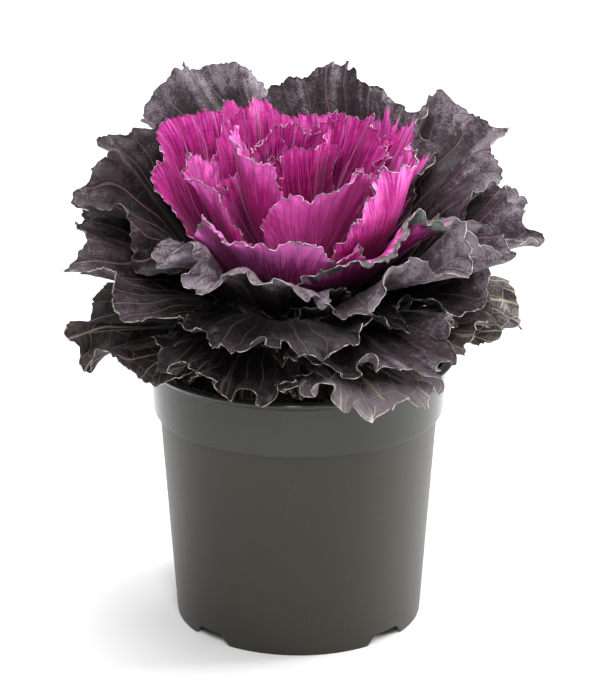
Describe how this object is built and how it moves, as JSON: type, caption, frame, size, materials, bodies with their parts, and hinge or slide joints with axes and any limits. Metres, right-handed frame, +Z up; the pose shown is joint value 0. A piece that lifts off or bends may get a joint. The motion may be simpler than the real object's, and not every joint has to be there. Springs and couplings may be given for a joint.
{
  "type": "potted ornamental kale plant",
  "caption": "Ornamental kale with a magenta heart of fan-shaped leaves inside ruffled dusty purple outer leaves, in a round dark plastic nursery pot.",
  "frame": {"origin": "on the ground, below the middle of the whole plant's spread; the pot's axis is 11.5 mm behind it and 1.6 mm to the left", "axes": "+Z up, -Y towards the front that the plant leans to, +X to the right seen from the front"},
  "size_m": [0.1899, 0.1949, 0.2229],
  "materials": {
    "pot_plastic": "satin charcoal polypropylene, glossier on the collar",
    "soil": "moist dark potting compost with a few pale grains",
    "stem": "woody pale green stalk",
    "outer_leaf": "dusty purple-black leaf with a waxy bloom, pale veins and a thin pale margin",
    "heart_leaf": "bright magenta leaf with lighter fan veins"
  },
  "bodies": {
    "root": {"pot": "pot_plastic", "soil": "soil", "stem": "stem", "outer_leaf_01": "outer_leaf", "outer_leaf_02": "outer_leaf", "outer_leaf_03": "outer_leaf", "outer_leaf_04": "outer_leaf", "outer_leaf_05": "outer_leaf", "outer_leaf_06": "outer_leaf", "outer_leaf_07": "outer_leaf", "outer_leaf_08": "outer_leaf", "outer_leaf_09": "outer_leaf", "outer_leaf_10": "outer_leaf", "outer_leaf_11": "outer_leaf", "outer_leaf_12": "outer_leaf", "outer_leaf_13": "outer_leaf", "outer_leaf_14": "outer_leaf", "outer_leaf_15": "outer_leaf", "outer_leaf_16": "outer_leaf", "outer_leaf_17": "outer_leaf", "outer_leaf_18": "outer_leaf", "outer_leaf_19": "outer_leaf", "outer_leaf_20": "outer_leaf", "outer_leaf_21": "outer_leaf", "outer_leaf_22": "outer_leaf", "outer_leaf_23": "outer_leaf", "outer_leaf_24": "outer_leaf", "heart_leaf_01": "heart_leaf", "heart_leaf_02": "heart_leaf", "heart_leaf_03": "heart_leaf", "heart_leaf_04": "heart_leaf", "heart_leaf_05": "heart_leaf", "heart_leaf_06": "heart_leaf", "heart_leaf_07": "heart_leaf", "heart_leaf_08": "heart_leaf", "heart_leaf_09": "heart_leaf", "heart_leaf_10": "heart_leaf", "heart_leaf_11": "heart_leaf", "heart_leaf_12": "heart_leaf", "heart_leaf_13": "heart_leaf", "heart_leaf_14": "heart_leaf", "heart_bud": "heart_leaf"}
  },
  "joints": []
}
